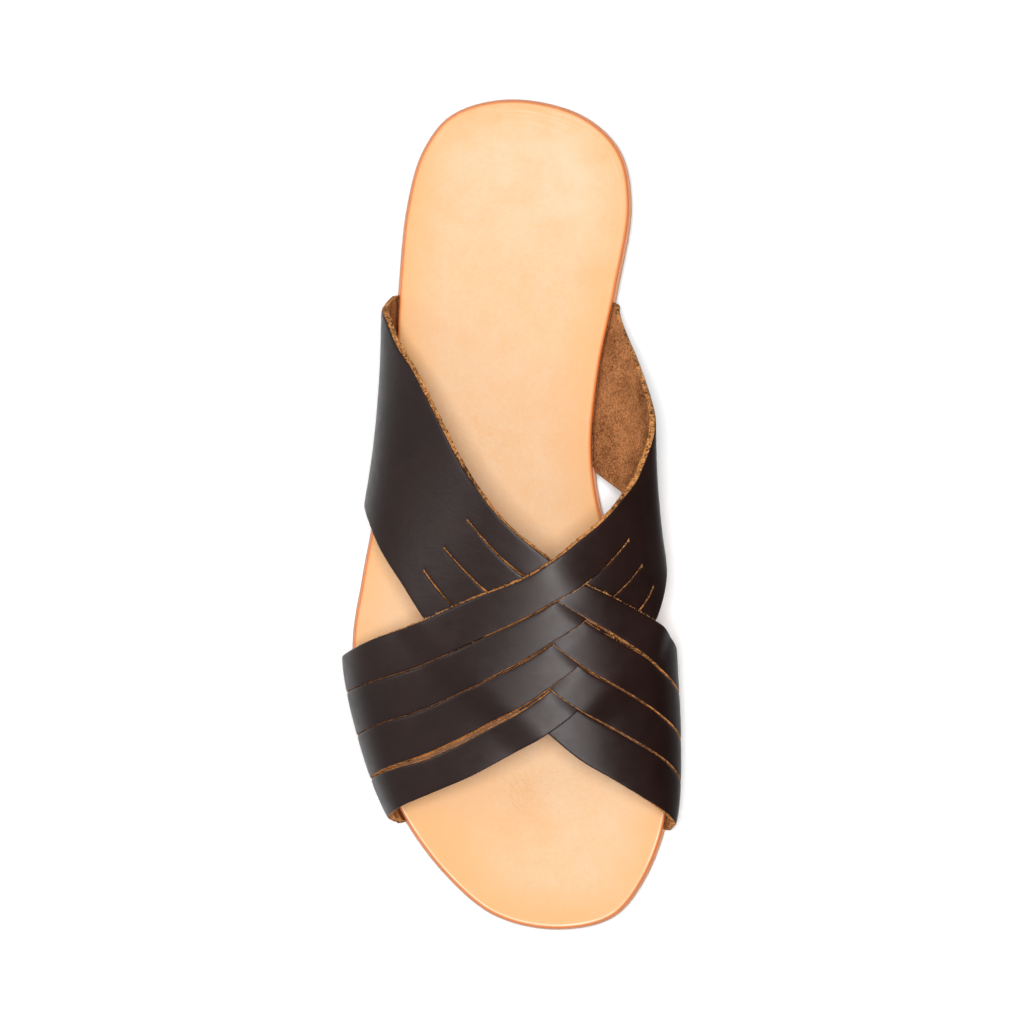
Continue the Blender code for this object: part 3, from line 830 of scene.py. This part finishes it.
def makeInsoleLeather():
    finish, tree, shader = newFinish("insoleLeather")
    where = inMillimetres(tree)
    broad = noise(tree, where, 0.020, 4.0, 0.6, 0.5)
    mottle = noise(tree, where, 0.14, 5.0, 0.62, 0.3)
    fine = noise(tree, where, 0.9, 3.0, 0.6)
    fac = sumOf(tree, ((broad, 0.44), (mottle, 0.28), (fine, 0.28)))
    body = rampBetween(tree, fac, 0.41, 0.61, insoleLook["pale"], insoleLook["warm"])
    rim = addNode(tree, "ShaderNodeAttribute", attribute_name="rim").outputs["Fac"]
    uneven = sumOf(tree, ((rim, 1.0), (noise(tree, where, 0.055, 3.0), -13.0)))
    tint = rangeOf(tree, uneven, -8.0, 8.0, 0.85, 0.0)
    body = mixColours(tree, tint, body, insoleLook["rimTint"])
    warmToe = rangeOf(tree, softSpot(tree, *insoleLook["warmToe"]), 0.0, 0.8, 0.0, 0.6)
    body = mixColours(tree, warmToe, body, insoleLook["rimTint"])
    # rubbed heel: pale, with faint streaks that follow the rim
    heel = softSpot(tree, *insoleLook["rubbedHeel"])
    slow = inMillimetres(tree, (0.07, 0.07, 0.07))
    parts = addNode(tree, "ShaderNodeSeparateXYZ", {"Vector": slow}).outputs
    beside = {"X": rim, "Y": parts["Y"], "Z": parts["X"]}
    beside = addNode(tree, "ShaderNodeCombineXYZ", beside).outputs[0]
    streaks = rangeOf(tree, noise(tree, beside, 0.8, 3.0, 0.5, 0.3), 0.50, 0.68)
    streaks = timesOf(tree, streaks, rangeOf(tree, rim, 3.0, 9.0, 0.5, 0.0))
    patches = rangeOf(tree, noise(tree, where, 0.075, 4.0, 0.6), 0.38, 0.62)
    rubbed = sumOf(tree, ((streaks, 0.7), (patches, 0.30)))
    rubbed = timesOf(tree, rubbed, rangeOf(tree, heel, 0.05, 0.7, 0.0, 0.9))
    body = mixColours(tree, rubbed, body, insoleLook["scuff"])
    burnt = rangeOf(tree, rim, 0.30, 1.00, 1.0, 0.0)
    body = mixColours(tree, burnt, body, insoleLook["burnish"])
    # painted highlight: a pale line just inside the rim at the toes, standing in for the rounded rim
    # catching the light, brighter here and there
    paintedRimHighlight = rangeOf(tree, rim, 1.05, 1.35, 1.0, 0.0)
    paintedRimHighlight = timesOf(tree, rangeOf(tree, rim, 0.70, 1.00), paintedRimHighlight)
    highlightBreakup = rangeOf(tree, noise(tree, where, 0.060, 3.0), 0.38, 0.58, 0.25, 1.0)
    highlightBreakup = timesOf(tree, highlightBreakup, rangeOf(tree, parts["Y"], -5.0, -2.5, 0.9, 0.05))
    body = mixColours(tree, timesOf(tree, paintedRimHighlight, highlightBreakup), body, insoleLook["paintedRimHighlight"])
    tree.links.new(body, shader.inputs["Base Color"])
    tree.links.new(rangeOf(tree, rim, 0.8, 2.2, 0.26, 0.46), shader.inputs["Roughness"])
    shader.inputs["Specular IOR Level"].default_value = 0.35
    pores = noise(tree, where, 2.6, 4.0, 0.6)
    hide = noise(tree, where, 0.35, 4.0, 0.6, 1.0)
    relief = [(pores, 1.4), (hide, 1.4)]
    for place, reach, degrees, strength in insoleWrinkles:
        folds = turnedFolds(tree, degrees, 0.3, 1.1)
        relief.append((timesOf(tree, folds, softSpot(tree, place, reach)), 9.0 * strength))
    bumpFrom(tree, shader, sumOf(tree, relief), insoleLook["depth"])
    return finish


outsoleLook = {
    "face": (0.42, 0.235, 0.135),
    "light": (0.56, 0.35, 0.25),
    "edge": (0.62, 0.28, 0.145),
    "depth": 0.0001,
}


def makeSoleLeather():
    finish, tree, shader = newFinish("soleLeather")
    where = inMillimetres(tree)
    layers = noise(tree, inMillimetres(tree, (0.15, 0.15, 3.0)), 0.8, 4.0, 0.6)
    blotch = noise(tree, where, 0.06, 4.0, 0.6)
    fac = sumOf(tree, ((layers, 0.45), (blotch, 0.55)))
    body = rampBetween(tree, fac, 0.38, 0.62, outsoleLook["face"], outsoleLook["light"])
    rim = addNode(tree, "ShaderNodeAttribute", attribute_name="rim").outputs["Fac"]
    upperSide = rangeOf(tree, rim, -0.98, -0.75, 0.0, 1.0)
    dyed = timesOf(tree, rangeOf(tree, rim, 1.2, 2.0, 0.85, 0.0), upperSide)
    colour = mixColours(tree, dyed, body, outsoleLook["edge"])
    tree.links.new(colour, shader.inputs["Base Color"])
    shader.inputs["Roughness"].default_value = 0.62
    relief = ((layers, 1.0), (noise(tree, where, 3.0, 3.0), 0.6))
    bumpFrom(tree, shader, sumOf(tree, relief), outsoleLook["depth"])
    return finish


tapLook = {"dark": (0.060, 0.0384, 0.0272), "light": (0.0975, 0.0624, 0.0442), "depth": 0.0001}


def makeTapRubber():
    finish, tree, shader = newFinish("heelTapRubber")
    where = inMillimetres(tree)
    speck = noise(tree, where, 1.2, 4.0, 0.6)
    colour = rampBetween(tree, speck, 0.35, 0.65, tapLook["dark"], tapLook["light"])
    tree.links.new(colour, shader.inputs["Base Color"])
    shader.inputs["Roughness"].default_value = 0.7
    bumpFrom(tree, shader, speck, tapLook["depth"])
    return finish


soleTop = shoe["outsoleThick"]
insole = soleSlab(
    "insoleLeather",
    insetRing(outline, soleLook["insoleInset"]),
    shoe["insoleThick"],
    soleTop + shoe["clearance"] + shoe["insoleThick"],
    soleLook["insoleRound"],
    soleLook["ringDepths"],
)
insole.data.materials.append(makeInsoleLeather())
settle(insole, "root", "insole")

outsole = soleSlab(
    "outsoleLeather", outline, soleTop, soleTop, soleLook["outsoleRound"], soleLook["ringDepths"]
)
soleLeather = makeSoleLeather()
outsole.data.materials.append(soleLeather)
settle(outsole, "root", "outsole")


def heelRing():  # the sole's outline as far as the breast, closed by a bowed line
    ring = insetRing(outline, soleLook["heelInset"])
    ring = ring[ring[:, 1] < soleLook["heelBreast"] - soleLook["breastCorner"]]
    split = int(np.argmax(np.linalg.norm(np.diff(ring, axis=0), axis=1))) + 1
    ring = np.concatenate([ring[split:], ring[:split]])
    left = edgeAcross(soleLook["heelBreast"], -1) + soleLook["heelInset"]
    right = edgeAcross(soleLook["heelBreast"], 1) - soleLook["heelInset"]
    across = np.linspace(right, left, soleLook["breastPoints"])
    bow = 1.0 - ((across - (left + right) / 2) / ((right - left) / 2)) ** 2
    breast = soleLook["heelBreast"] - soleLook["breastHollow"] * bow
    return np.concatenate([ring, np.stack([across, breast], 1)])


def heelLayer(name, thick, lift, finish):
    layer = soleSlab(
        name, heelRing(), thick, lift, soleLook["heelRound"], soleLook["heelRingDepths"], bent=False
    )
    layer.data.materials.append(finish)
    settle(layer, "root", "outsole")


heelLayer("heelLift", shoe["heelHeight"] - soleLook["tapThick"], shoe["heelHeight"], soleLeather)
heelLayer("heelTap", soleLook["tapThick"], soleLook["tapThick"], makeTapRubber())
print("soles made")

# loose fibres on the cut edges
fibreLook = {
    "thick": 0.00017,
    "bend": 0.5,
    "tuft": 3,  # fibres that start close together
    "tuftWidth": 0.0025,  # in turns
    "thickSpread": (0.7, 1.3),
    "spread": 0.8,
    "rootDepth": 0.0001,
    "highest": 0.95,  # share of the cut's height
    "offAxis": (0.3, 0.2, 0.9),  # a direction that no fibre takes
    "seed": 11,
}

# panel, edge, strip, turn from and to, how many, shortest and longest, and how
# low on the cut they start (0 flesh side, 1 grain side)
fibreRuns = (
    ("inner", "back", 0, 0.93, 0.15, 200, 0.0002, 0.0007, 0.0),
    ("inner", "back", 0, 0.90, 0.15, 36, 0.0008, 0.0013, 0.2),
    ("inner", "back", 0, 0.15, -0.62, 170, 0.0002, 0.0007, 0.3),
    ("inner", "back", 0, 0.12, -0.50, 96, 0.0010, 0.0019, 0.5),
    ("outer", "back", 0, -0.93, -0.15, 220, 0.0002, 0.0007, 0.0),
    ("outer", "back", 0, -0.90, -0.15, 36, 0.0008, 0.0012, 0.2),
    ("outer", "back", 0, 0.05, 0.50, 90, 0.0003, 0.0008, 0.3),
    ("outer", "back", 0, 0.08, 0.48, 54, 0.0010, 0.0017, 0.5),
    ("inner", "front", 2, 0.10, -0.75, 240, 0.0004, 0.0011, 0.0),
    ("inner", "back", 3, 0.10, -0.75, 120, 0.0004, 0.0011, 0.0),
    ("inner", "front", 1, 0.25, -0.30, 60, 0.0003, 0.0007, 0.2),
    ("inner", "front", 0, 0.35, -0.90, 40, 0.0002, 0.0004, 0.2),
    ("outer", "front", 0, 0.05, 0.50, 150, 0.0004, 0.0012, 0.0),
    ("outer", "back", 1, 0.05, 0.50, 120, 0.0004, 0.0012, 0.2),
    ("outer", "front", 1, -0.25, 0.90, 60, 0.0003, 0.0007, 0.4),
    ("outer", "front", 2, -0.30, 0.90, 60, 0.0003, 0.0007, 0.4),
    ("inner", "front", 3, -0.10, -0.90, 60, 0.0003, 0.0009, 0.0),
    ("outer", "front", 3, 0.30, 0.93, 60, 0.0003, 0.0009, 0.0),
)


def fibreShape():
    bpy.ops.object.select_all(action="DESELECT")
    bpy.ops.mesh.primitive_cone_add(
        vertices=3, radius1=1.0, radius2=0.0, depth=1.0, location=(0, 0, 0.5)
    )
    one = startPiece("fibre")
    bpy.ops.object.transform_apply(location=True)
    bpy.ops.object.mode_set(mode="EDIT")
    bpy.ops.mesh.select_all(action="SELECT")
    bpy.ops.mesh.bisect(plane_co=(0.0, 0.0, 0.5), plane_no=(0.0, 0.0, 1.0))
    bpy.ops.object.mode_set(mode="OBJECT")
    corners = np.array([tuple(v.co) for v in one.data.vertices])
    faces = [tuple(f.vertices) for f in one.data.polygons]
    bpy.data.objects.remove(one, do_unlink=True)
    return corners, faces


def edgeFibres():
    rng = random.Random(fibreLook["seed"])
    panels = {"inner": innerShape, "outer": outerShape}
    shape, shapeFaces = fibreShape()
    middle = np.abs(shape[:, 2] - 0.5) < 0.1
    corners, faces = [], []
    for panel, edge, strip, fromTurn, toTurn, count, short, long, start in fibreRuns:
        base, top, turns = panels[panel]
        col = strip * len(stripPlaces) + (0 if edge == "back" else len(stripPlaces) - 1)
        deeper = col + (3 if edge == "back" else -3)
        for number in range(count):
            if number % fibreLook["tuft"] == 0:
                tuft = rng.uniform(min(fromTurn, toTurn), max(fromTurn, toTurn))
            at = tuft + rng.gauss(0.0, fibreLook["tuftWidth"])
            row = int(np.argmin(np.abs(turns - at)))
            row = min(max(row, 1), len(turns) - 2)
            blend = rng.random()
            low = base[col, row] * (1 - blend) + base[col, row + 1] * blend
            high = top[col, row] * (1 - blend) + top[col, row + 1] * blend
            spot = low + (high - low) * rng.uniform(start, fibreLook["highest"])
            outward = base[col, row] - base[deeper, row]
            outward /= np.linalg.norm(outward)
            astray = np.array([rng.uniform(-1, 1), rng.uniform(-1, 1), rng.uniform(-0.5, 1)])
            way = outward + astray * fibreLook["spread"]
            way /= np.linalg.norm(way)
            sideways = np.cross(way, fibreLook["offAxis"])
            sideways /= np.linalg.norm(sideways)
            up = np.cross(way, sideways)
            length = rng.uniform(short, long)
            thick = fibreLook["thick"] * rng.uniform(*fibreLook["thickSpread"])
            curve = length * fibreLook["bend"] * rng.uniform(-1, 1)
            placed = spot - way * fibreLook["rootDepth"]
            placed = placed + shape[:, :1] * sideways * thick + shape[:, 1:2] * up * thick
            placed = placed + shape[:, 2:] * way * length + middle[:, None] * sideways * curve
            faces += [tuple(len(corners) + i for i in face) for face in shapeFaces]
            corners += [tuple(c) for c in placed]
    mesh = bpy.data.meshes.new("edgeFibres")
    mesh.from_pydata(corners, [], faces)
    made = bpy.data.objects.new("edgeFibres", mesh)
    bpy.context.scene.collection.objects.link(made)
    bm = bmesh.new()
    bm.from_mesh(mesh)
    bmesh.ops.recalc_face_normals(bm, faces=bm.faces[:])
    bm.to_mesh(mesh)
    bm.free()
    mesh.materials.append(looseFibre)
    settle(made, "root", None)


edgeFibres()
print("edge fibres made")

# floor, lights (watts, size, place, seen in gloss, lights up) and camera
studio = {
    "floorColour": (0.93, 0.93, 0.93),
    "floorRough": 0.85,
    "floorSize": 6.0,
    "floorDrop": 0.0002,
    "glowAcross": (-0.7, 0.45),
    "glowDown": (-0.56, -0.90),
    "underFade": (0.15, 0.60, 1.0, 0.3),
    "skyLeft": 0.31,
    "skyRight": 0.0,
    "skyUnder": 0.9,
    "skyAround": 0.27,
    "panel": (20.5, (1.02, 1.20), (0.24, -0.99, 1.75), True, False),
    "fill": (28.0, (0.5, 0.5), (0.05, 0.04, 1.9), False, True),
    "edge": (12.0, (0.5, 0.5), (0.05, 0.04, 1.92), True, True),
    "left": (3.0, (0.6, 0.6), (-1.25, 0.1, 0.9), True, True),
    "cameraPlace": (0.0583, 0.0008, 1.25),
    "aim": (0.0, 0.0008, 0.012),
    "viewWidth": 0.320,
    "sensorWidth": 36.0,
}

bpy.ops.object.select_all(action="DESELECT")
bpy.ops.mesh.primitive_plane_add(size=studio["floorSize"], location=(0, 0, -studio["floorDrop"]))
floor = startPiece("studioFloor")
floorFinish, _, floorShader = newFinish("paleFloor")
floorShader.inputs["Base Color"].default_value = (*studio["floorColour"], 1.0)
floorShader.inputs["Roughness"].default_value = studio["floorRough"]
floor.data.materials.append(floorFinish)

world = bpy.data.worlds.new("studioAir")
bpy.context.scene.world = world
world.use_nodes = True
sky = world.node_tree
skyPlace = addNode(sky, "ShaderNodeTexCoord").outputs["Generated"]
skyParts = addNode(sky, "ShaderNodeSeparateXYZ", {"Vector": skyPlace}).outputs
across, upwards = skyParts["X"], skyParts["Z"]
sideGlow = rangeOf(sky, across, *studio["glowAcross"], studio["skyLeft"], studio["skyRight"])
underGlow = rangeOf(sky, upwards, *studio["glowDown"], 0.0, studio["skyUnder"])
underGlow = timesOf(sky, underGlow, rangeOf(sky, across, *studio["underFade"]))
skyGlow = sumOf(sky, ((sideGlow, 1.0), (underGlow, 1.0)))
# the straps mirror the dark and light sides of the room; all else sees an even sky
shine = addNode(sky, "ShaderNodeLightPath").outputs["Is Glossy Ray"]
skyGlow = rangeOf(sky, shine, 0.0, 1.0, studio["skyAround"], skyGlow)
sky.links.new(skyGlow, sky.nodes["Background"].inputs["Strength"])
sky.nodes["Background"].inputs["Color"].default_value = (1.0, 1.0, 1.0, 1.0)
bpy.context.scene.view_settings.view_transform = "Standard"


def softLight(name, power, size, place, shines, fills):
    data = bpy.data.lights.new(name, "AREA")
    data.energy = power
    data.shape = "RECTANGLE"
    data.size, data.size_y = size
    lamp = bpy.data.objects.new(name, data)
    lamp.location = place
    lamp.rotation_mode = "QUATERNION"
    lamp.rotation_quaternion = (Vector((0, 0, 0)) - Vector(place)).to_track_quat("-Z", "Y")
    lamp.visible_glossy = shines
    lamp.visible_diffuse = fills
    bpy.context.scene.collection.objects.link(lamp)


softLight("overheadPanel", *studio["panel"])
softLight("overheadFill", *studio["fill"])
softLight("overheadEdge", *studio["edge"])
softLight("leftLight", *studio["left"])
floor.visible_glossy = False

cameraData = bpy.data.cameras.new("photoCamera")
camera = bpy.data.objects.new("photoCamera", cameraData)
bpy.context.scene.collection.objects.link(camera)
bpy.context.scene.camera = camera
toAim = Vector(studio["aim"]) - Vector(studio["cameraPlace"])
cameraData.sensor_width = studio["sensorWidth"]
cameraData.lens = studio["sensorWidth"] / (studio["viewWidth"] / toAim.length)
cameraData.clip_start = 0.05
camera.location = studio["cameraPlace"]
camera.rotation_euler = (math.atan2(toAim.y, -toAim.z), math.atan2(-toAim.x, -toAim.z), 0.0)
print("studio made")
